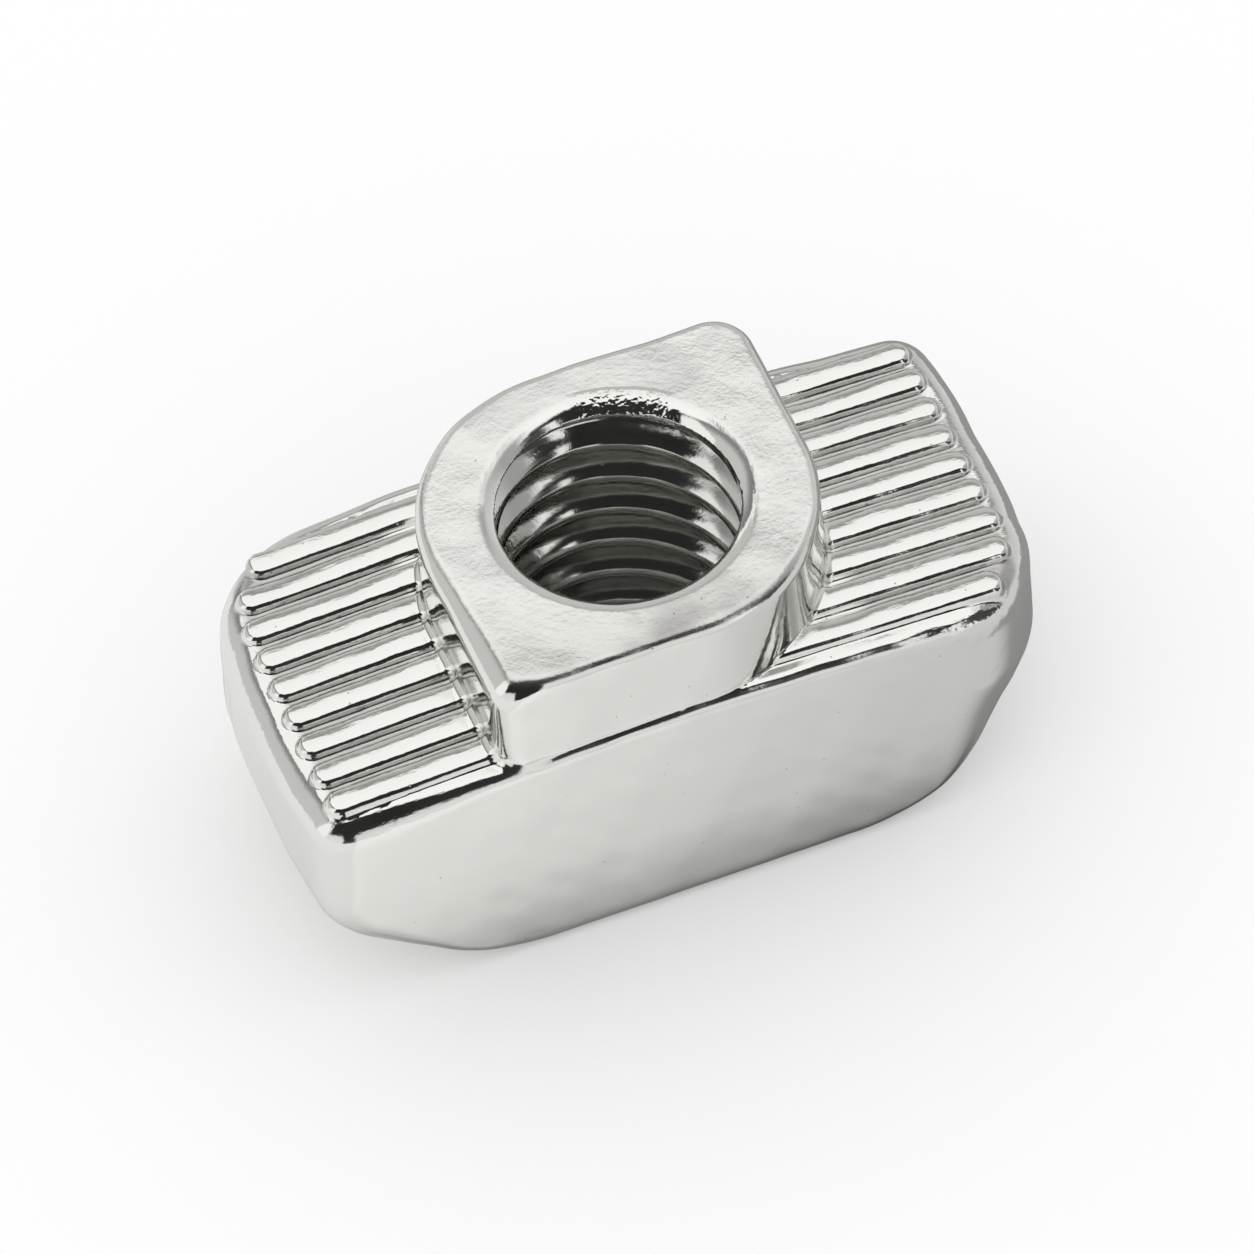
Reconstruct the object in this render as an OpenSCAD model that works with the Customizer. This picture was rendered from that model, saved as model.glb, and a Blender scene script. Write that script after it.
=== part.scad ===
// Hammer-head nut for an 8 mm T-slot, with an M6 thread, in millimetres.
// The origin is on the thread's axis at the flat back, and +Z points out of the boss.
// Two opposite corners of the head and of the boss are round, so the nut turns a quarter
// turn in the slot and stops on its square corners.

/* [Head] */
// Length of the head, which lies across the slot when locked
head_length = 16; // [13:0.1:20]
// Width of the head, which drops in through the slot
head_width = 7.8; // [7.2:0.1:9]
// How far each end bulges past its corners
end_bulge = 0.15; // [0.05:0.05:0.3]
// Height of the shoulders beside the boss
shoulder_height = 5.65; // [5:0.05:7]
// Fall of the shoulder from the boss to the tip of a wing
wing_drop = 0.15; // [0.05:0.05:0.4]
// Length of the flat back, up to where the sloped ends would meet it
back_flat_length = 8.9; // [7:0.1:10]
// Angle of the sloped ends from the flat back
back_slope = 34; // [28:0.5:40]
// Radius of the bend between the flat back and a sloped end
back_bend_r = 4; // [1:0.1:5]
// Radius between a sloped end and the upright end face
tip_bend_r = 2; // [0.5:0.1:2.5]
// Radius of the two round corners of the head
head_round_r = 2.4; // [1.5:0.1:3]
// Radius of the two square corners of the head
head_square_r = 0.8; // [0.4:0.1:1.4]
// Rounding of the head's long edges and of its tips
head_edge_r = 0.35; // [0.2:0.05:0.5]

/* [Boss] */
// Length of the boss along the head
boss_length = 8; // [7.4:0.1:8.6]
// Width of the boss across the head
boss_width = 7.6; // [7.2:0.1:8]
// Height of the boss above the shoulders
boss_height = 2.25; // [1.5:0.05:3.5]
// Radius of the two round corners of the boss
boss_round_r = 3.7; // [2.5:0.1:4]
// Radius of the two square corners of the boss
boss_square_r = 0.9; // [0.4:0.1:1.4]
// Rounding of the boss's top edge
boss_edge_r = 0.25; // [0.1:0.05:0.35]

/* [Thread] */
// Core hole of the M6 thread
core_d = 4.9; // [4.8:0.05:5.3]
// Diameter of the countersink in the boss
boss_sink_d = 5.7; // [5.4:0.1:6.4]
// Diameter of the countersink in the back
back_sink_d = 6.3; // [5.6:0.1:6.6]

/* [Serrations] */
// Number of ridges on each wing
ridge_count = 9; // [5:1:9]
// Distance between ridges
ridge_pitch = 0.78; // [0.75:0.01:0.8]
// Radius of a ridge's round top
ridge_r = 0.37; // [0.3:0.01:0.37]
// Height of a ridge above the shoulder
ridge_height = 0.17; // [0.1:0.01:0.2]
// Plain rim left between the ridges and the end of a wing
ridge_rim = 0.4; // [0.2:0.05:0.8]

/* [Hidden] */

$fn = 96;
half_length = head_length / 2;
half_width = head_width / 2;
half_flat = back_flat_length / 2;
total_height = shoulder_height + boss_height;

// Depth to which the boss is set in the head
boss_root = 1;
// How far a ridge starts inside the boss, so that it also meets the boss's round corner
ridge_root = 2.2;
// Margin by which a cutting shape passes the surface that it cuts
cut_margin = 1;

// Where the end face stands at its corners
corner_x = half_length - end_bulge;
// Height at which the sloped end would meet the end face
slope_top = (corner_x - half_flat) * tan(back_slope);
// Steps in each bend of the head's side outline, along its slopes and round corners, and of its ends
bend_steps = 4;
slope_steps = 8;
bulge_steps = 4;

wing_slope = atan(wing_drop / (half_length - boss_length / 2));

// Middle and half span of the bulging part of the +X end, between its two corners
bulge_mid = (head_round_r - head_square_r) / 2;
bulge_half = half_width - (head_round_r + head_square_r) / 2;

// Distance from the middle of the head to the edge rounding's centre, by a corner of radius r
function inner_half_width(x, r) =
    let (past = x - (corner_x - r), inner_r = r - head_edge_r)
    half_width - r + (past > 0 ? sqrt(max(inner_r * inner_r - past * past, 0)) : inner_r);

// Points [x, z] along an arc of radius r about the centre c, from angle a0 to a1
function arc_points(c, r, a0, a1, steps) =
    [for (i = [0 : steps]) let (a = a0 + (a1 - a0) * i / steps) c + r * [cos(a), sin(a)]];

// Centres [x, z] of the edge rounding along the bend between the flat back and the slope
function back_bend_points() =
    let (c = [half_flat - back_bend_r * tan(back_slope / 2), back_bend_r])
    arc_points(c, back_bend_r - head_edge_r, -90, back_slope - 90, bend_steps);

// Centres [x, z] of the edge rounding along the bend between the slope and the end face
function tip_bend_points() =
    let (c = [corner_x - tip_bend_r, slope_top + tip_bend_r * tan((90 - back_slope) / 2)])
    arc_points(c, tip_bend_r - head_edge_r, back_slope - 90, 0, bend_steps);

// Centres [x, z] of the edge rounding along the back, from the flat over the slope to the tip
function back_edge_points() =
    let (
        low = back_bend_points()[bend_steps],
        high = tip_bend_points()[0],
        slope = [for (i = [1 : slope_steps - 1]) low + (high - low) * i / slope_steps]
    )
    concat(back_bend_points(), slope, tip_bend_points());

// Height of the edge rounding's centre on the shoulder at x
function shoulder_edge_z(x) = shoulder_height - head_edge_r - (x - boss_length / 2) * tan(wing_slope);

// Centres [x, z] of the edge rounding along the shoulder, from the boss round a corner of radius r
function shoulder_edge_points(r) =
    let (arc_x = [for (i = [0 : slope_steps]) corner_x - r + (r - head_edge_r) * sin(90 * i / slope_steps)])
    [for (x = concat([boss_length / 2], arc_x)) [x, shoulder_edge_z(x)]];

// Ball whose poles and equator points lie exactly on its radius
module edge_ball() {
    rotate_extrude($fn = 16)
        polygon([for (a = [-90 : 22.5 : 90]) head_edge_r * [cos(a), sin(a)]]);
}

// Edge balls at [x, z] points, beside a corner whose plan radius is r
module edge_balls(points, r, side) {
    for (p = points)
        translate([p[0], side * inner_half_width(p[0], r), p[1]]) edge_ball();
}

// Edge balls of the bulging part of the +X end
module bulge_balls() {
    shoulder_x = corner_x - head_edge_r;
    for (i = [1 : bulge_steps - 1]) {
        share = 2 * i / bulge_steps - 1;
        for (p = concat(tip_bend_points(), [[shoulder_x, shoulder_edge_z(shoulder_x)]]))
            translate([p[0] + end_bulge * (1 - share * share), bulge_mid + share * bulge_half, p[1]])
                edge_ball();
    }
}

// Head without its ridges, with every edge rounded by head_edge_r
module head_blank() {
    hull()
        for (turn = [0, 180])
            rotate(turn) {
                edge_balls(back_edge_points(), head_round_r, -1);
                edge_balls(back_edge_points(), head_square_r, 1);
                edge_balls(shoulder_edge_points(head_round_r), head_round_r, -1);
                edge_balls(shoulder_edge_points(head_square_r), head_square_r, 1);
                bulge_balls();
            }
}

// How far along +X the plan outline reaches at the distance y across the head
function reach(y) =
    let (r = y < 0 ? head_round_r : head_square_r, past = abs(y) - (half_width - r))
    past > 0 ? corner_x - r + sqrt(max(r * r - past * past, 0)) : corner_x;

// Ridge that lies along +Z from its root to run, with a round end
module ridge(run) {
    translate([0, 0, -ridge_root])
        rotate_extrude() {
            square([ridge_r, ridge_root + run]);
            translate([0, ridge_root + run])
                intersection() {
                    circle(ridge_r);
                    square(ridge_r);
                }
        }
}

// Ridges of the +X wing, which start inside the boss and end before the rim
module wing_ridges() {
    tip_r = sqrt(ridge_r * ridge_r - pow(ridge_r - ridge_height, 2));
    for (i = [0 : ridge_count - 1]) {
        y = (i - (ridge_count - 1) / 2) * ridge_pitch;
        translate([boss_length / 2, y, shoulder_height])
            rotate([0, 90 + wing_slope, 0])
                translate([ridge_r - ridge_height, 0, 0])
                    ridge(reach(y) - ridge_rim - tip_r - boss_length / 2);
    }
}

// Upright post of a boss corner with a rounded top edge
module corner_post(r, height) {
    rotate_extrude() {
        square([r, height - boss_edge_r]);
        square([r - boss_edge_r, height]);
        translate([r - boss_edge_r, height - boss_edge_r]) circle(boss_edge_r);
    }
}

// Straight wall of the boss from x0 to x1, its face on Y = -reach_y, with a rounded top edge
module boss_wall(x0, x1, reach_y, height) {
    translate([x0, 0, 0])
        rotate([90, 0, 90])
            linear_extrude(x1 - x0) {
                translate([-reach_y, 0]) square([reach_y, height - boss_edge_r]);
                translate([-reach_y + boss_edge_r, 0]) square([reach_y - boss_edge_r, height]);
                translate([-reach_y + boss_edge_r, height - boss_edge_r]) circle(boss_edge_r);
            }
}

// Boss with two round and two square corners, standing on Z = 0
module boss_block(height) {
    half_l = boss_length / 2;
    half_w = boss_width / 2;
    for (turn = [0, 180])
        rotate(turn) {
            translate([half_l - boss_round_r, -half_w + boss_round_r, 0])
                corner_post(boss_round_r, height);
            translate([half_l - boss_square_r, half_w - boss_square_r, 0])
                corner_post(boss_square_r, height);
            boss_wall(-half_l + boss_square_r, half_l - boss_round_r, half_w, height);
            rotate(90) boss_wall(-half_w + boss_round_r, half_w - boss_square_r, half_l, height);
        }
}

// Core hole with a countersink at each end
module thread_hole() {
    boss_sink = (boss_sink_d - core_d) / 2;
    back_sink = (back_sink_d - core_d) / 2;
    translate([0, 0, -cut_margin])
        cylinder(h = total_height + 2 * cut_margin, d = core_d);
    translate([0, 0, total_height - boss_sink])
        cylinder(h = boss_sink + cut_margin, d1 = core_d, d2 = boss_sink_d + 2 * cut_margin);
    translate([0, 0, -cut_margin])
        cylinder(h = back_sink + cut_margin, d1 = back_sink_d + 2 * cut_margin, d2 = core_d);
}

module nut() {
    color([0.78, 0.78, 0.75])
        difference() {
            union() {
                head_blank();
                for (turn = [0, 180]) rotate(turn) wing_ridges();
                translate([0, 0, shoulder_height - boss_root])
                    boss_block(boss_height + boss_root);
            }
            thread_hole();
        }
}

nut();
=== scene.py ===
"""Hammer-head T-slot nut in bright nickel plate, on a white table."""

import math

import bpy
import numpy as np
from mathutils import Matrix, Vector

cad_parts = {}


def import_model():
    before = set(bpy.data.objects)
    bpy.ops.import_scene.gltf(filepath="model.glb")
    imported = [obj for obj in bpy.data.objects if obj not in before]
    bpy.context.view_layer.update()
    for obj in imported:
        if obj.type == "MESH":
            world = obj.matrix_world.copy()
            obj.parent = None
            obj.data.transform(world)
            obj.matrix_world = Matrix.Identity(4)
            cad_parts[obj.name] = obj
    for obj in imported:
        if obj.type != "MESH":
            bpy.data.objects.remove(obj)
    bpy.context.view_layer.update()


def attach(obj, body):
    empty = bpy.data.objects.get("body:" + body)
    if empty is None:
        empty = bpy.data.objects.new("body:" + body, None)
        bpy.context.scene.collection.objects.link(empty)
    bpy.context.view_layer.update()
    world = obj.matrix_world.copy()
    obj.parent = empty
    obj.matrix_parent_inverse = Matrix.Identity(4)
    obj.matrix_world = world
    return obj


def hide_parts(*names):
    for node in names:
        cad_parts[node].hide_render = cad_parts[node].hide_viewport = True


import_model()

MM = 0.001
WHITE = (1, 1, 1, 1)

# Head, in millimetres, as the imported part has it
HEAD_LENGTH, HEAD_WIDTH = 16.0, 7.8
END_BULGE = 0.15
SHOULDER_HEIGHT, WING_DROP = 5.65, 0.15
BACK_FLAT_LENGTH, BACK_SLOPE = 8.9, 34.0
BACK_BEND_R, TIP_BEND_R = 4.0, 2.0
HEAD_ROUND_R, HEAD_SQUARE_R, HEAD_EDGE_R = 2.4, 0.8, 0.35

# Boss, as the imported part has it
BOSS_LENGTH, BOSS_WIDTH, TOTAL_HEIGHT = 8.0, 7.6, 7.9
BOSS_ROUND_R, BOSS_SQUARE_R, BOSS_EDGE_R = 3.7, 0.9, 0.25

# Where the end face stands at its corners, and how much the shoulders fall for each millimetre
CORNER_X = HEAD_LENGTH / 2 - END_BULGE
WING_FALL = WING_DROP / (HEAD_LENGTH / 2 - BOSS_LENGTH / 2)

# The ends are fuller by this much from this depth below their upper edge
TIP_FULLNESS, FULLNESS_DEPTH = 0.08, 2.1
# Rounding of the head's upper edges beside the boss and at the tips, and the stretch in which it changes
BESIDE_BOSS_EDGE_R, WING_EDGE_R, WING_EDGE_SPAN = 0.28, 0.58, (3.4, 7.2)
# Where along the head the bulge of its end sets in
BULGE_SPAN = (5.0, 7.5)
# The upright corners are round where the end face leads the sloped back by this much
CORNER_SPAN = (-2.8, 0.2)

# The boss's front stands back from the head's, and the boss is set into the head down to this height
BOSS_SET_BACK, BOSS_FOOT = 0.06, 3.0
# Its left square corner is sharper in plan, with a top edge worn rounder along and across these stretches
BOSS_SHARP_R, CORNER_WEAR = 0.55, 0.38
WEAR_ALONG, WEAR_ACROSS = (2.9, 3.8), (-1.5, 3.6)
# Fillet round its foot, in front and at its ends, and the stretch in which it changes
FRONT_ROOT_R, END_ROOT_R, ROOT_SPAN = 0.04, 0.2, (2.6, 3.9)

# M6 thread and its countersinks, which lean by 45 degrees
PITCH, CORE_R, MAJOR_R = 1.0, 2.4, 3.0
BOSS_SINK_R, BACK_SINK_R, LIP_R = 2.62, 3.15, 0.15
SINK_LEAN = math.sqrt(0.5)
# The first turns are cut less deep, down to these distances from the boss's top and the back
BOSS_RUN_IN, BACK_RUN_IN = 1.1, 0.9
# Share of the gap across the thread that counts as distance, since its flanks are steep
FLANK_SHARE = 0.6

# Ridges of the wings: gently crowned tops with a tighter round down to the shoulder
RIDGE_COUNT, RIDGE_PITCH, RIDGE_HEIGHT, RIDGE_RIM = 9, 0.78, 0.17, 0.4
RIDGE_HALF, RIDGE_CROWN_R, RIDGE_SIDE_R, RIDGE_FOOT_R = 0.32, 1.0, 0.12, 0.05

# Waves of the tumbled and plated surface: how many, their lengths, and the height of the longest
WAVE_SEED, WAVE_COUNT = 11, 16
WAVE_SHORT, WAVE_LONG, WAVE_HEIGHT = 0.6, 4.0, 0.009
# Height over which they grow from nothing at the flat back
WAVE_ONSET = 0.5

# Mesh of the nut: the grid it is drawn from, and the faces that are kept
GRID_STEP = 0.05
FACE_LIMIT = 190000
# Reach of the differences that give the field's slope, for placing points and for the normals
SLOPE_STEP, NORMAL_STEP = 0.004, 0.012
# How far and how often the points are moved, on the grid and after the faces are thinned
GRID_REACH, GRID_ROUNDS = GRID_STEP / 2, 4
FINE_REACH, FINE_ROUNDS = 0.02, 3
# Least squared slope and least length to divide by
LEAST_SLOPE, LEAST_LENGTH = 0.05, 1e-9

# Plate: its own colour, and a darker colour for the pits and for painted shade
PLATE_COLOUR, PIT_AND_SHADE_COLOUR = (0.84, 0.84, 0.805, 1), (0.4, 0.39, 0.37, 1)

# Directions in plan: along the far lip of the hole, and towards the front of the boss's top
ALONG_LIP, TO_FRONT = (0.95, -0.31), (-0.1, -0.95)

# Regions of the plate. Each limit names a coordinate and where along it the region is nothing and is full
WING = [
    ("off_x", BOSS_LENGTH / 2 - 0.2, BOSS_LENGTH / 2 + 0.3),
    ("z", SHOULDER_HEIGHT - 0.65, SHOULDER_HEIGHT - 0.35),
]
REGIONS = {
    "boss_top": [
        ("z", TOTAL_HEIGHT - 0.12, TOTAL_HEIGHT - 0.03),
        ("rho", BOSS_SINK_R + 0.04, BOSS_SINK_R + 0.18),
    ],
    "long_face": [("off_y", HEAD_WIDTH / 2 - 0.2, HEAD_WIDTH / 2 - 0.05)],
    # Inside the hole, from just below the boss's top, where the plate gets painted shade
    "hole": [("rho", MAJOR_R + 0.1, MAJOR_R - 0.05), ("z", TOTAL_HEIGHT - 0.3, TOTAL_HEIGHT - 1.2)],
    "wing": WING,
    # The bottoms between the ridges, short of the rims, which are rougher and get painted shade
    "grooves": WING + [
        ("over_shoulder", 0.12, 0.05),
        ("z", SHOULDER_HEIGHT - 0.35, SHOULDER_HEIGHT - 0.25),
        ("off_x", CORNER_X - 0.5, CORNER_X - 0.7),
        ("off_y", HEAD_WIDTH / 2 - 0.5, HEAD_WIDTH / 2 - 0.7),
    ],
    # The far side of the boss's countersink
    "far_lip": [
        ("rho", BOSS_SINK_R + 0.33, BOSS_SINK_R + 0.23),
        ("z", TOTAL_HEIGHT - 0.6, TOTAL_HEIGHT - 0.5),
        ("y", 1.0, 1.4),
        ("along_lip", -0.9, -0.5),
        ("along_lip", 1.4, 1.0),
    ],
    # The front edge of the right wing
    "knocked_edge": [
        ("x", 4.5, 5.5),
        ("y", 0.5 - HEAD_WIDTH / 2, 0.35 - HEAD_WIDTH / 2),
        ("z", SHOULDER_HEIGHT - 0.95, SHOULDER_HEIGHT - 0.65),
        ("z", SHOULDER_HEIGHT - 0.1, SHOULDER_HEIGHT - 0.2),
    ],
    # The front of the boss's top, where painted shade goes
    "boss_front": [("to_front", 1.6, 3.7)],
}

# Noise patterns of the plate: how many features to a millimetre along each axis, detail and roughness
NOISES = {
    "crinkle": ((4.5, 4.5, 4.5), 3.0, 0.6),
    "clouds": ((0.55, 0.55, 0.55), 2.0, 0.5),
    "grain": ((14.0, 14.0, 14.0), 2.0, 0.6),
    "dashes": ((1.1, 5.0, 5.0), 3.0, 0.65),
    "chatter": ((8.0, 8.0, 8.0), 1.0, 0.5),
    "nicks": ((3.0, 3.0, 3.0), 2.0, 0.5),
}
# Turning marks: features to a millimetre outwards and to a radian round, detail and roughness
TURNING_OUT, TURNING_ROUND, TURNING_DETAIL, TURNING_ROUGHNESS = 9.0, 2.2, 3.0, 0.6
# Levels of the clouds between which the plate goes from bright to dull, and the painted shade at the front
# of the boss's top from faint to strong
DULL_CLOUDS, SHADE_CLOUDS, FAINT_SHADE = (0.3, 0.7), (0.4, 0.65), 0.35
# Pits: cells to a millimetre, a pit's radius in cells, and the random levels from which a cell has one
PIT_CELLS, PIT_SPAN, PIT_CHANCE = 3.3, (0.08, 0.03), (0.5, 0.6)

# What each region or pattern adds to the plate's roughness, and to its share of the darker colour, which
# darkens the pits and paints shade in the grooves, the hole and at the front of the boss's top
PLAIN_ROUGHNESS = 0.07
ROUGHNESS = {"dull_clouds": 0.06, "boss_top": 0.17, "long_face": 0.05, "grooves": 0.14, "pits": 0.2}
PITS_AND_SHADE = {"pits": 0.6, "grooves": 0.62, "hole": 0.25, "boss_front_shade": 0.65}
# Heights of the patterns, each over the whole nut or in one region, in thousandths of a millimetre
BUMPS = [
    (3.0, ["crinkle"]),
    (8.0, ["crinkle", "boss_top"]),
    (4.0, ["turning", "boss_top"]),
    (0.8, ["grain"]),
    (3.0, ["grain", "boss_top"]),
    (9.0, ["dashes", "wing"]),
    (32.0, ["chatter", "far_lip"]),
    (30.0, ["nicks", "knocked_edge"]),
    (-5.0, ["pits"]),
]

# The photograph's view of the nut
VIEW_AZIMUTH, VIEW_ELEVATION, VIEW_ROLL = -18.3, 50.9, -4.2
VIEW_DISTANCE = 173.6
VIEW_TARGET = (0.0, 0.0, TOTAL_HEIGHT / 2)
LENS, SENSOR_WIDTH = 250.0, 36.0
CLIP_NEAR, CLIP_FAR = 0.01, 10.0

# Light tent that the metal reflects. "over" runs from 0 at the far horizon over the top, at 0.5, to 1 at
# the near horizon; "across" from 0 at the left to 1 at the right. Levels are (place, level), 1 is white
ARCH = [
    (0.0, 0.62), (0.17, 0.55), (0.21, 0.3), (0.235, 0.35), (0.258, 1.03), (0.525, 1.1),
    (0.548, 0.02), (0.82, 0.02), (0.845, 0.75), (1.0, 0.85),
]
# In the middle the dark side comes down to the near horizon
MIDDLE = [("across", 0.32, 0.37), ("across", 0.66, 0.6), ("over", 0.72, 0.76)]
MIDDLE_COLOUR = (0.02, 0.02, 0.02, 1)
# Beyond the roof on the left stands grey cloth with a dark seam
CLOTH = [("across", 0.295, 0.265), ("over", 0.56, 0.52)]
CLOTH_LEVELS = [(0.0, 0.62), (0.12, 0.6), (0.19, 0.3), (0.24, 0.2), (0.262, 1.1), (1.0, 1.1)]
# The dark side reaches further round to the right than the white roof does
RIGHT_SHIFT, RIGHT_SHIFT_SPAN = -0.13, (0.45, 0.55)
RIGHT_ONSET = [(0.72, 0.0), (0.8, 1.0)]
RIGHT_LEVELS = [(0.0, 0.75), (0.25, 0.6), (0.4, 0.4), (0.68, 0.4), (0.75, 0.78), (1.0, 0.85)]
# White cards stand on both sides of the camera, with edges that lean about one height
CARD_PIVOT, LEFT_CARD_LEAN, RIGHT_CARD_LEAN = -0.57, 0.42, -0.37
LEFT_CARD = [("left_lean", 0.24, 0.2), ("over", 0.5, 0.54)]
RIGHT_CARD = [("right_lean", 0.715, 0.73), ("over", 0.6, 0.63)]
RIGHT_CARD_LEVELS = [(0.0, 1.0), (0.775, 1.0), (0.795, 0.05), (1.0, 0.05)]

# Table, a hair below the flat back, so that the two never lie in one plane
TABLE_SIZE, TABLE_DROP = 2.0, 0.02
# Painted shade on the table, which the metal shows in its reflections: how much darker it is close by, to
# the right, past the left end and along the front face
SHADE_PATCHES = [
    (0.36, [("y", -5.8, -3.9), ("x", -8.6, -7.0)]),
    (0.3, [("x", -4.0, 9.0)]),
    (0.1, [("x", -7.4, -8.4)]),
    (0.25, [("y", -4.4, -4.0), ("y", -3.2, -3.8), ("x", -8.0, -5.0), ("x", 7.5, 5.5)]),
]
# How dull it is for all other rays, its level from white to black, and what it adds for the camera
PLAIN_DULLNESS, TABLE_LEVELS, TABLE_GLOW = 0.16, [(0.0, 0.98), (1.0, 0.0)], 0.18


# Distance fields, which are negative inside

def both(a, b, r):
    """Intersection of two distance fields, its edge rounded by r."""
    a, b = a + r, b + r
    return np.minimum(np.maximum(a, b), 0) + np.hypot(np.maximum(a, 0), np.maximum(b, 0)) - r


def either(a, b, r):
    """Union of two distance fields, its inner corner filled by r."""
    return -both(-a, -b, r)


def bend(a, b, degrees, r):
    """Intersection of two planes whose normals are that far apart, their edge an arc of radius r."""
    c, s = math.cos(math.radians(degrees)), math.sin(math.radians(degrees))
    a, b = a + r, b + r
    arc = np.sqrt(np.maximum(a * a + b * b - 2 * c * a * b, 0)) / s
    return np.where((a > b * c) & (b > a * c), arc, np.maximum(a, b)) - r


def leaning(x, z, x0, degrees):
    """Plane through x0 on the floor that rises outwards at an angle."""
    a = math.radians(degrees)
    return (x - x0) * math.sin(a) - z * math.cos(a)


def smooth(v, start, end):
    """Smooth rise from 0 to 1 as v goes from start to end, whichever of them is the greater."""
    t = np.clip((v - start) / (end - start), 0, 1)
    return t * t * (3 - 2 * t)


def between(a, b, share):
    return a + (b - a) * share


# The nut's surface

def waves():
    """Wave vectors, phases and heights of the surface's waves."""
    rng = np.random.default_rng(WAVE_SEED)
    way = rng.normal(size=(WAVE_COUNT, 3))
    way /= np.linalg.norm(way, axis=1, keepdims=True)
    length = np.geomspace(WAVE_SHORT, WAVE_LONG, WAVE_COUNT)
    phase = rng.uniform(0, 2 * math.pi, WAVE_COUNT)
    return [(2 * math.pi * w / size, start, WAVE_HEIGHT * size / WAVE_LONG)
            for w, size, start in zip(way, length, phase)]


WAVES = waves()


def unevenness(x, y, z):
    """Height of the waves in the surface, which fade to nothing at the flat back."""
    total = 0
    for way, start, height in WAVES:
        total = total + height * np.sin(way[0] * x + way[1] * y + way[2] * z + start)
    return total * smooth(z, 0, WAVE_ONSET)


def shoulder(x):
    """Height of the right shoulder, which falls from the boss to the tip."""
    return SHOULDER_HEIGHT - WING_FALL * (x - BOSS_LENGTH / 2)


def corner_radius(y):
    """Radius in plan of the right tip's corner at that side: round in front, square behind."""
    return np.where(y < 0, HEAD_ROUND_R, HEAD_SQUARE_R)


def ridges(x, y, z):
    """Ridges of the right wing, each with a round end short of the rim."""
    half = (RIDGE_COUNT - 1) / 2
    line = np.clip(np.round(y / RIDGE_PITCH), -half, half) * RIDGE_PITCH
    r = corner_radius(line)
    past = np.maximum(np.abs(line) - (HEAD_WIDTH / 2 - r), 0)
    reach = CORNER_X - r + np.sqrt(np.maximum(r * r - past * past, 0))
    across = np.hypot(y - line, np.maximum(x - (reach - RIDGE_RIM - RIDGE_HALF), 0))
    crown = np.hypot(across, z - shoulder(x) - RIDGE_HEIGHT + RIDGE_CROWN_R) - RIDGE_CROWN_R
    return both(crown, across - RIDGE_HALF, RIDGE_SIDE_R)


def head(x, y, z):
    """Head without its ridges, folded so that x is always towards the right tip."""
    middle = (HEAD_ROUND_R - HEAD_SQUARE_R) / 2
    half = HEAD_WIDTH / 2 - (HEAD_ROUND_R + HEAD_SQUARE_R) / 2
    bulge = END_BULGE * np.maximum(1 - ((y - middle) / half) ** 2, 0) * smooth(x, *BULGE_SPAN)
    fullness = TIP_FULLNESS * np.clip((SHOULDER_HEIGHT - HEAD_EDGE_R - z) / FULLNESS_DEPTH, 0, 1)
    end = x - CORNER_X - bulge - fullness
    back = bend(-z, leaning(x, z, BACK_FLAT_LENGTH / 2, BACK_SLOPE), BACK_SLOPE, BACK_BEND_R)
    profile = bend(back, end, 90 - BACK_SLOPE, TIP_BEND_R)
    # Upright corners are round in plan; below them the long edges keep their small rounding
    edge_r = between(HEAD_EDGE_R, corner_radius(y), smooth(end - back, *CORNER_SPAN))
    solid = both(profile, np.abs(y) - HEAD_WIDTH / 2, edge_r)
    rim_r = between(BESIDE_BOSS_EDGE_R, WING_EDGE_R, smooth(x, *WING_EDGE_SPAN))
    return both(solid, z - shoulder(x), rim_r)


def boss(x, y, z, square_r, wear):
    """Boss, folded as the head is: round in front, and square behind with that radius and wear."""
    corner_r = np.where(y < 0, BOSS_ROUND_R, square_r)
    solid = both(x - BOSS_LENGTH / 2, np.abs(y) - (BOSS_WIDTH / 2 - BOSS_SET_BACK), corner_r)
    rim_r = BOSS_EDGE_R + wear * smooth(x, *WEAR_ALONG) * smooth(y, *WEAR_ACROSS)
    return np.maximum(both(solid, z - TOTAL_HEIGHT, rim_r), BOSS_FOOT - z)


def bore(x, y, z):
    """Threaded hole with a countersink at each end."""
    rho = np.hypot(x, y)
    turns = z / PITCH - np.arctan2(y, x) / (2 * math.pi)
    # Rolled and plated, the thread is a round wave between its crests and roots
    wave = 0.5 + 0.5 * np.cos(2 * math.pi * turns)
    cut = smooth(z, TOTAL_HEIGHT, TOTAL_HEIGHT - BOSS_RUN_IN) * smooth(z, 0, BACK_RUN_IN)
    wall = CORE_R + (MAJOR_R - CORE_R) * wave * cut
    thread = (rho - wall) * FLANK_SHARE
    boss_sink = (rho - BOSS_SINK_R - (z - TOTAL_HEIGHT)) * SINK_LEAN
    back_sink = (rho - BACK_SINK_R + z) * SINK_LEAN
    return np.minimum(np.minimum(thread, boss_sink), back_sink)


def nut_field(x, y, z):
    """Signed distance to the nut's surface, nearly, in millimetres."""
    side = np.where(x < 0, -1.0, 1.0)
    u, v = x * side, y * side
    solid = either(head(u, v, z), ridges(u, v, z), RIDGE_FOOT_R)
    square_r = np.where(x < 0, BOSS_SHARP_R, BOSS_SQUARE_R)
    wear = np.where(x < 0, CORNER_WEAR, 0)
    root_r = between(FRONT_ROOT_R, END_ROOT_R, smooth(u, *ROOT_SPAN))
    solid = either(solid, boss(u, v, z, square_r, wear), root_r) + unevenness(x, y, z)
    return both(solid, -bore(x, y, z), LIP_R)


# From field to mesh

def slopes_of(field, p, step):
    """Gradient of a field at points, by central differences."""
    g = np.empty_like(p)
    for k in range(3):
        a, b = p.copy(), p.copy()
        a[:, k] += step
        b[:, k] -= step
        g[:, k] = (field(*a.T) - field(*b.T)) / (2 * step)
    return g


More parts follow.
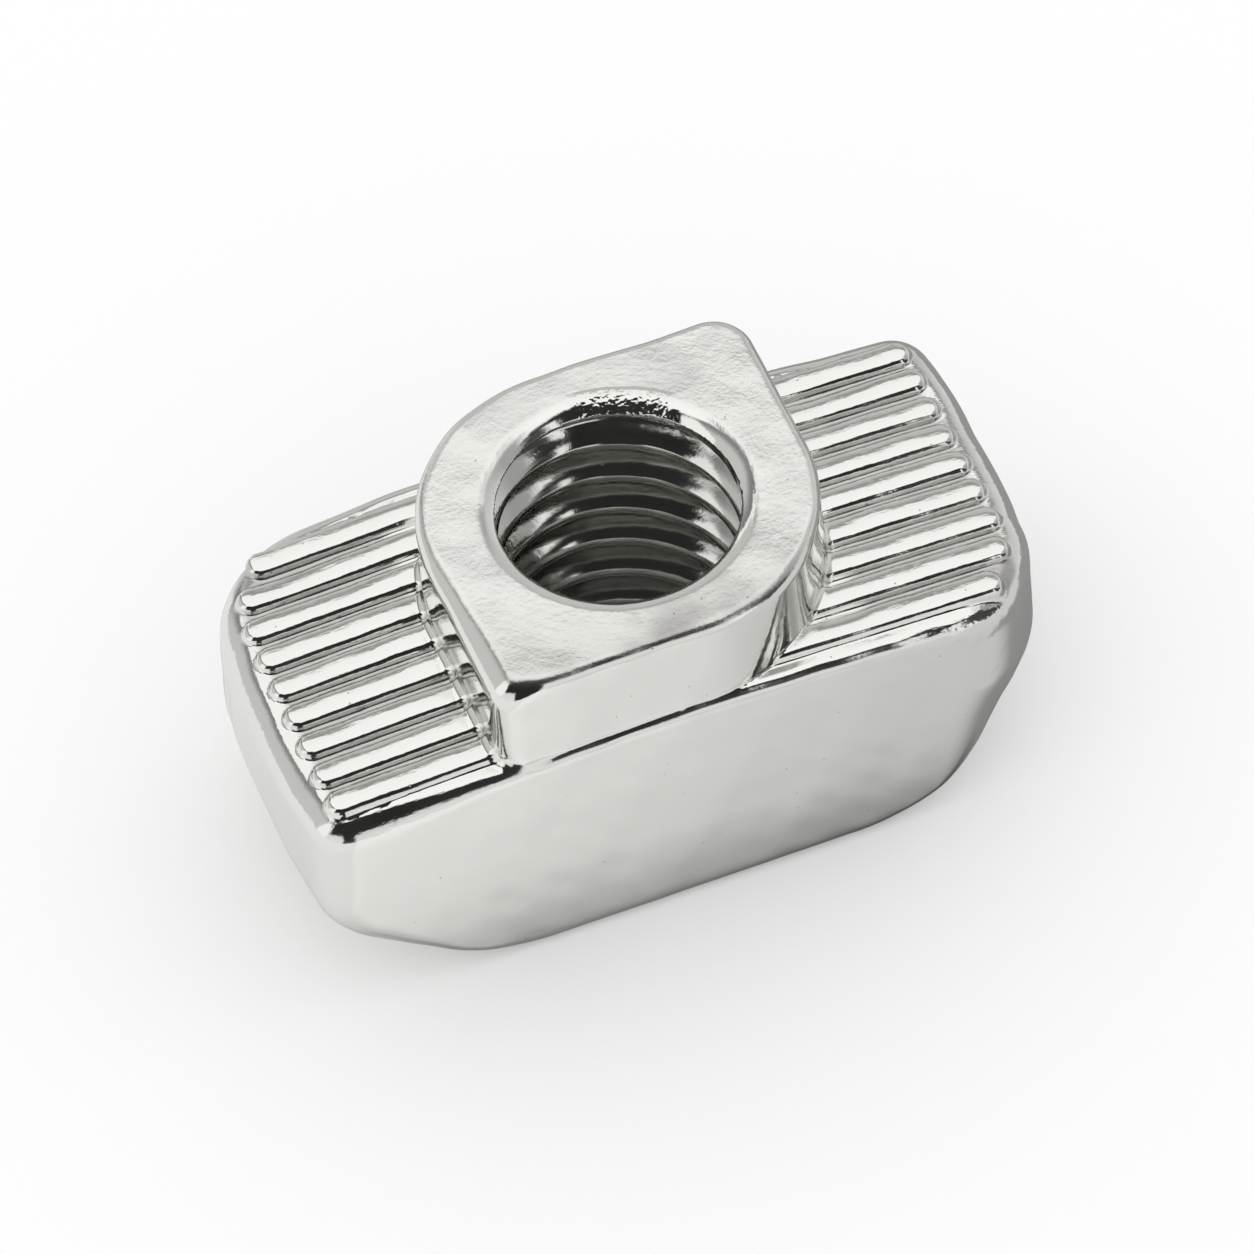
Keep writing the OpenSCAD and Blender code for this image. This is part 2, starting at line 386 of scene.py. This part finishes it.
def settle(field, p, reach, rounds):
    """Moves points onto the field's surface, each by no more than reach a round."""
    for _ in range(rounds):
        g = slopes_of(field, p, SLOPE_STEP)
        move = -field(*p.T)[:, None] * g / np.maximum((g * g).sum(1), LEAST_SLOPE)[:, None]
        size = np.linalg.norm(move, axis=1, keepdims=True)
        p = p + move * np.minimum(1, reach / np.maximum(size, LEAST_LENGTH))
    return p


def grid_values(field, axes):
    """The field at every point of a grid, one slice at a time."""
    values = np.empty([len(a) for a in axes], np.float32)
    yy, zz = np.meshgrid(axes[1], axes[2], indexing="ij")
    for i, x in enumerate(axes[0]):
        values[i] = field(np.full_like(yy, x), yy, zz)
    return values


def crossed_cells(metal):
    """Which cells of the grid have corners both inside and outside the metal."""
    nx, ny, nz = metal.shape
    corners = [metal[i:nx - 1 + i, j:ny - 1 + j, k:nz - 1 + k] for i, j, k in np.ndindex(2, 2, 2)]
    return np.logical_or.reduce(corners) & ~np.logical_and.reduce(corners)


def mean_crossings(values, cells):
    """For each cell, the mean of the places where its edges cross the surface, in grid steps."""
    total, count = np.zeros((len(cells), 3)), np.zeros(len(cells))
    for axis in range(3):
        for a, b in np.ndindex(2, 2):
            start = cells + np.insert([a, b], axis, 0)
            stop = start.copy()
            stop[:, axis] += 1
            f0, f1 = values[tuple(start.T)], values[tuple(stop.T)]
            hit = (f0 < 0) != (f1 < 0)
            t = np.where(hit, f0 / np.where(hit, f0 - f1, 1), 0)
            point = start.astype(float)
            point[:, axis] += t
            total[hit] += point[hit]
            count[hit] += 1
    return total / count[:, None]


def quads_across(axis, metal, index):
    """Quads of the four cells round each grid edge along an axis that crosses the surface."""
    low, high = [slice(None)] * 3, [slice(None)] * 3
    low[axis], high[axis] = slice(0, -1), slice(1, None)
    a, b = metal[tuple(low)], metal[tuple(high)]
    u, v = (axis + 1) % 3, (axis + 2) % 3
    quads = []
    for inside, outside, flip in ((a, b, False), (b, a, True)):
        edges = np.argwhere(inside & ~outside)
        ring = []
        for du, dv in ((0, 0), (-1, 0), (-1, -1), (0, -1)):
            cell = edges.copy()
            cell[:, u] += du
            cell[:, v] += dv
            ring.append(index[tuple(cell.T)])
        ring = np.stack(ring, 1)
        quads.append(ring[:, ::-1] if flip else ring)
    return np.concatenate(quads)


def surface(field, lo, hi, step):
    """Closed quad mesh of the field's surface, one point in each grid cell that it crosses."""
    margin = 2 * step
    axes = [np.arange(a - margin, b + margin + step / 2, step) for a, b in zip(lo, hi)]
    values = grid_values(field, axes)
    metal = values < 0
    crossed = crossed_cells(metal)
    cells = np.argwhere(crossed)
    index = np.full(crossed.shape, -1, np.int64)
    index[crossed] = np.arange(len(cells))
    points = np.array([a[0] for a in axes]) + mean_crossings(values, cells) * step
    return points, np.concatenate([quads_across(axis, metal, index) for axis in range(3)])


def make_mesh(name, points, quads):
    mesh = bpy.data.meshes.new(name)
    mesh.vertices.add(len(points))
    mesh.vertices.foreach_set("co", (points * MM).ravel())
    mesh.loops.add(quads.size)
    mesh.loops.foreach_set("vertex_index", quads.ravel())
    mesh.polygons.add(len(quads))
    mesh.polygons.foreach_set("loop_start", np.arange(0, quads.size, quads.shape[1]))
    mesh.update(calc_edges=True)
    mesh.validate()
    return mesh


def thin_out(piece, faces):
    """Brings a piece's mesh, which has that many triangles, down to the face limit."""
    fewer = piece.modifiers.new("fewer", "DECIMATE")
    fewer.ratio = FACE_LIMIT / faces
    shown = piece.evaluated_get(bpy.context.evaluated_depsgraph_get())
    mesh = bpy.data.meshes.new_from_object(shown)
    piece.modifiers.clear()
    piece.data = mesh


def settle_mesh(mesh, field):
    """Moves a mesh's points onto the field's surface and gives them the field's own normals."""
    co = np.empty(len(mesh.vertices) * 3)
    mesh.vertices.foreach_get("co", co)
    co = settle(field, co.reshape(-1, 3) / MM, FINE_REACH, FINE_ROUNDS)
    mesh.vertices.foreach_set("co", (co * MM).ravel())
    normal = slopes_of(field, co, NORMAL_STEP)
    normal /= np.maximum(np.linalg.norm(normal, axis=1, keepdims=True), LEAST_LENGTH)
    mesh.polygons.foreach_set("use_smooth", np.ones(len(mesh.polygons), bool))
    mesh.update()
    mesh.normals_split_custom_set_from_vertices([tuple(v) for v in normal])


def build_nut():
    """The nut as one closed mesh with true surface normals."""
    lo = (-HEAD_LENGTH / 2, -HEAD_WIDTH / 2, 0)
    hi = (HEAD_LENGTH / 2, HEAD_WIDTH / 2, TOTAL_HEIGHT)
    points, quads = surface(nut_field, lo, hi, GRID_STEP)
    points = settle(nut_field, points, GRID_REACH, GRID_ROUNDS)
    piece = bpy.data.objects.new("nickel_nut", make_mesh("nickel_nut", points, quads))
    bpy.context.collection.objects.link(piece)
    faces = 2 * len(quads)
    if faces > FACE_LIMIT:
        thin_out(piece, faces)
    settle_mesh(piece.data, nut_field)
    return piece


# Materials and light

class Nodes:
    """Short way to add and link shader nodes."""

    def __init__(self, tree):
        self.tree = tree
        tree.nodes.clear()

    def add(self, kind, **given):
        node = self.tree.nodes.new(kind)
        for key, value in given.items():
            setattr(node, key, value)
        return node

    def put(self, socket, value):
        """Links a socket to an output, or gives it a plain value."""
        if isinstance(value, bpy.types.NodeSocket):
            self.tree.links.new(value, socket)
        else:
            socket.default_value = value

    def math(self, operation, a, b=0.0, clamp=False):
        node = self.add("ShaderNodeMath", operation=operation, use_clamp=clamp)
        self.put(node.inputs[0], a)
        self.put(node.inputs[1], b)
        return node.outputs[0]

    def product(self, first, *others):
        for other in others:
            first = self.math("MULTIPLY", first, other)
        return first

    def total(self, first, *others, clamp=False):
        for other in others:
            first = self.math("ADD", first, other, clamp)
        return first

    def vector(self, operation, a, b, output="Vector"):
        node = self.add("ShaderNodeVectorMath", operation=operation)
        self.put(node.inputs[0], a)
        self.put(node.inputs[1], b)
        return node.outputs[output]

    def split(self, vector):
        node = self.add("ShaderNodeSeparateXYZ")
        self.put(node.inputs[0], vector)
        return node.outputs

    def step(self, value, start, end):
        """Smooth rise from 0 to 1 as a value goes from start to end, whichever of them is the greater."""
        node = self.add("ShaderNodeMapRange", interpolation_type="SMOOTHSTEP")
        node.inputs["From Min"].default_value = min(start, end)
        node.inputs["From Max"].default_value = max(start, end)
        if end < start:
            node.inputs["To Min"].default_value = 1.0
            node.inputs["To Max"].default_value = 0.0
        self.put(node.inputs["Value"], value)
        return node.outputs["Result"]

    def region(self, places, limits):
        """How far a point is in a region, from its places and the region's (place's name, start, end)."""
        return self.product(*(self.step(places[name], start, end) for name, start, end in limits))

    def ramp(self, value, stops):
        """Grey levels along a value, from [(place, level)]."""
        node = self.add("ShaderNodeValToRGB")
        elements = node.color_ramp.elements
        while len(elements) < len(stops):
            elements.new(0.5)
        for element, (place, level) in zip(elements, stops):
            element.position = place
            element.color = (level, level, level, 1)
        self.put(node.inputs[0], value)
        return node.outputs[0]

    def noise(self, vector, detail, roughness):
        """Noise with one feature to each unit of the vector."""
        node = self.add("ShaderNodeTexNoise")
        self.put(node.inputs["Vector"], vector)
        self.put(node.inputs["Scale"], 1.0)
        self.put(node.inputs["Detail"], detail)
        self.put(node.inputs["Roughness"], roughness)
        return node.outputs["Fac"]

    def mix(self, share, a, b):
        node = self.add("ShaderNodeMix", data_type="RGBA")
        self.put(node.inputs["Factor"], share)
        self.put(node.inputs["A"], a)
        self.put(node.inputs["B"], b)
        return node.outputs["Result"]

    def place(self):
        """Where a point is on its piece, in millimetres."""
        return self.vector("MULTIPLY", self.add("ShaderNodeTexCoord").outputs["Object"], (1 / MM,) * 3)

    def ray(self, kind):
        """1 for rays of that kind, else 0."""
        return self.add("ShaderNodeLightPath").outputs[kind]


def new_material(name):
    """A material with the nodes to fill and the input that takes its shader."""
    material = bpy.data.materials.new(name)
    material.use_nodes = True
    n = Nodes(material.node_tree)
    return material, n, n.add("ShaderNodeOutputMaterial").inputs["Surface"]


def plate_places(n, place):
    """The coordinates that the plate's regions are given in, by name."""
    x, y, z = n.split(place)
    off_x = n.math("ABSOLUTE", x)
    fall = n.product(n.math("SUBTRACT", off_x, BOSS_LENGTH / 2), WING_FALL)
    return {
        "x": x,
        "y": y,
        "z": z,
        "off_x": off_x,
        "off_y": n.math("ABSOLUTE", y),
        "rho": n.math("SQRT", n.total(n.product(x, x), n.product(y, y))),
        "round": n.math("ARCTAN2", y, x),
        "over_shoulder": n.total(n.math("SUBTRACT", z, SHOULDER_HEIGHT), fall),
        "along_lip": n.total(n.product(x, ALONG_LIP[0]), n.product(y, ALONG_LIP[1])),
        "to_front": n.total(n.product(x, TO_FRONT[0]), n.product(y, TO_FRONT[1])),
    }


def turning_marks(n, places):
    """Marks that the turning tool left round the hole."""
    vector = n.add("ShaderNodeCombineXYZ")
    n.put(vector.inputs[0], n.product(places["rho"], TURNING_OUT))
    n.put(vector.inputs[1], n.product(places["round"], TURNING_ROUND))
    return n.noise(vector.outputs[0], TURNING_DETAIL, TURNING_ROUGHNESS)


def pits(n, place):
    """Small round pits, in some of the cells that the plate is divided into."""
    cells = n.add("ShaderNodeTexVoronoi")
    n.put(cells.inputs["Vector"], place)
    n.put(cells.inputs["Scale"], PIT_CELLS)
    chance = n.split(cells.outputs["Color"])[0]
    return n.product(n.step(cells.outputs["Distance"], *PIT_SPAN), n.step(chance, *PIT_CHANCE))


def plate_shares(n):
    """How much of each region and pattern is at a point of the plate, by name."""
    place = n.place()
    places = plate_places(n, place)
    shares = {name: n.region(places, limits) for name, limits in REGIONS.items()}
    for name, (scale, detail, roughness) in NOISES.items():
        shares[name] = n.noise(n.vector("MULTIPLY", place, scale), detail, roughness)
    shares["turning"] = turning_marks(n, places)
    shares["pits"] = pits(n, place)
    shares["dull_clouds"] = n.step(shares["clouds"], *DULL_CLOUDS)
    # Painted shade at the front of the boss's top, patchy with the clouds
    boss_front_shade = n.total(FAINT_SHADE, n.step(shares["clouds"], *SHADE_CLOUDS))
    shares["boss_front_shade"] = n.product(boss_front_shade, shares["boss_front"], shares["boss_top"])
    return shares


def nickel():
    """Bright nickel plate, satin on the boss's top and rougher in the grooves, with darkened pits and
    painted shade in the grooves, the hole and at the front of the boss's top.
    """
    material, n, surface_input = new_material("nickel_plate")
    shares = plate_shares(n)
    roughened = [n.product(shares[name], much) for name, much in ROUGHNESS.items()]
    # The darker colour marks the pits, and is painted shade in the grooves, the hole and at the front of
    # the boss's top
    pits_and_shade = [n.product(shares[name], much) for name, much in PITS_AND_SHADE.items()]
    raised = [n.product(*(shares[name] for name in names), much) for much, names in BUMPS]
    bump = n.add("ShaderNodeBump")
    n.put(bump.inputs["Height"], n.total(*raised))
    n.put(bump.inputs["Distance"], MM / 1000)
    shader = n.add("ShaderNodeBsdfPrincipled")
    n.put(shader.inputs["Metallic"], 1.0)
    n.put(shader.inputs["Roughness"], n.total(PLAIN_ROUGHNESS, *roughened))
    n.put(shader.inputs["Base Color"], n.mix(n.total(*pits_and_shade, clamp=True), PLATE_COLOUR, PIT_AND_SHADE_COLOUR))
    n.put(shader.inputs["Normal"], bump.outputs[0])
    n.put(surface_input, shader.outputs[0])
    return material


def table_material():
    """White table that keeps the nut's shadow, with patches of painted shade that only the metal's
    reflections show.
    """
    material, n, surface_input = new_material("white_table")
    places = dict(zip("xyz", n.split(n.place())))
    # Patches of painted shade, which darken the table for glossy rays only
    painted_shade = [n.product(n.region(places, limits), much) for much, limits in SHADE_PATCHES]
    glossy = n.ray("Is Glossy Ray")
    shown = n.product(n.total(*painted_shade, clamp=True), glossy)
    plain = n.product(n.math("SUBTRACT", 1.0, glossy), PLAIN_DULLNESS)
    diffuse = n.add("ShaderNodeBsdfDiffuse")
    n.put(diffuse.inputs["Color"], n.ramp(n.total(shown, plain), TABLE_LEVELS))
    glow = n.add("ShaderNodeEmission")
    n.put(glow.inputs["Color"], WHITE)
    n.put(glow.inputs["Strength"], n.product(n.ray("Is Camera Ray"), TABLE_GLOW))
    added = n.add("ShaderNodeAddShader")
    n.put(added.inputs[0], diffuse.outputs[0])
    n.put(added.inputs[1], glow.outputs[0])
    n.put(surface_input, added.outputs[0])
    return material


def floor():
    """The table that the nut stands on."""
    bpy.ops.mesh.primitive_plane_add(size=TABLE_SIZE)
    table = bpy.context.object
    table.name = "table"
    table.location.z = -TABLE_DROP * MM
    table.data.materials.append(table_material())


def tent_places(n):
    """The angles that the tent's parts are given in, by name."""
    direction = n.add("ShaderNodeTexCoord").outputs["Generated"]
    c, s = math.cos(math.radians(VIEW_AZIMUTH)), math.sin(math.radians(VIEW_AZIMUTH))
    axes = [(0, 0, 1), (-s, c, 0), (c, s, 0)]
    up, far, right = (n.vector("DOT_PRODUCT", direction, axis, "Value") for axis in axes)
    over = n.math("DIVIDE", n.math("ARCTAN2", up, far), math.pi)
    across = n.total(n.product(right, 0.5), 0.5)
    pivoted = n.total(over, CARD_PIVOT)
    return {
        "over": over,
        "across": across,
        "left_lean": n.total(across, n.product(pivoted, LEFT_CARD_LEAN)),
        "right_lean": n.total(across, n.product(pivoted, RIGHT_CARD_LEAN)),
        "shifted": n.total(across, n.product(n.step(over, *RIGHT_SHIFT_SPAN), RIGHT_SHIFT)),
    }


def tent(n):
    """Colour of the light tent in each direction; each part lies over the ones before it."""
    at = tent_places(n)
    colour = n.ramp(at["over"], ARCH)
    for share, part in (
        (n.region(at, MIDDLE), MIDDLE_COLOUR),
        (n.region(at, CLOTH), n.ramp(at["across"], CLOTH_LEVELS)),
        (n.ramp(at["shifted"], RIGHT_ONSET), n.ramp(at["over"], RIGHT_LEVELS)),
        (n.region(at, LEFT_CARD), WHITE),
        (n.region(at, RIGHT_CARD), n.ramp(at["right_lean"], RIGHT_CARD_LEVELS)),
    ):
        colour = n.mix(share, colour, part)
    return colour


def world():
    """Plain white light, in which metal reflects a light tent with a dark side where the camera stands."""
    made = bpy.data.worlds.new("studio")
    bpy.context.scene.world = made
    made.use_nodes = True
    n = Nodes(made.node_tree)
    choose = n.add("ShaderNodeMixShader")
    n.put(choose.inputs[0], n.ray("Is Glossy Ray"))
    for socket, colour in ((choose.inputs[1], WHITE), (choose.inputs[2], tent(n))):
        background = n.add("ShaderNodeBackground")
        n.put(background.inputs["Color"], colour)
        n.put(socket, background.outputs[0])
    n.put(n.add("ShaderNodeOutputWorld").inputs["Surface"], choose.outputs[0])


def camera():
    """Camera at the photograph's view of the nut."""
    a, e = math.radians(VIEW_AZIMUTH), math.radians(VIEW_ELEVATION)
    back = Vector((math.sin(a) * math.cos(e), -math.cos(a) * math.cos(e), math.sin(e)))
    data = bpy.data.cameras.new("camera")
    data.lens = LENS
    data.sensor_width = SENSOR_WIDTH
    data.clip_start, data.clip_end = CLIP_NEAR, CLIP_FAR
    made = bpy.data.objects.new("camera", data)
    made.location = (Vector(VIEW_TARGET) + back * VIEW_DISTANCE) * MM
    turn = (-back).to_track_quat("-Z", "Y").to_matrix()
    made.rotation_euler = (turn @ Matrix.Rotation(math.radians(VIEW_ROLL), 3, "Z")).to_euler()
    bpy.context.collection.objects.link(made)
    bpy.context.scene.camera = made


nut = build_nut()
nut.data.materials.append(nickel())
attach(nut, "root")
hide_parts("nut")
world()
floor()
camera()
bpy.context.scene.view_settings.view_transform = "Standard"
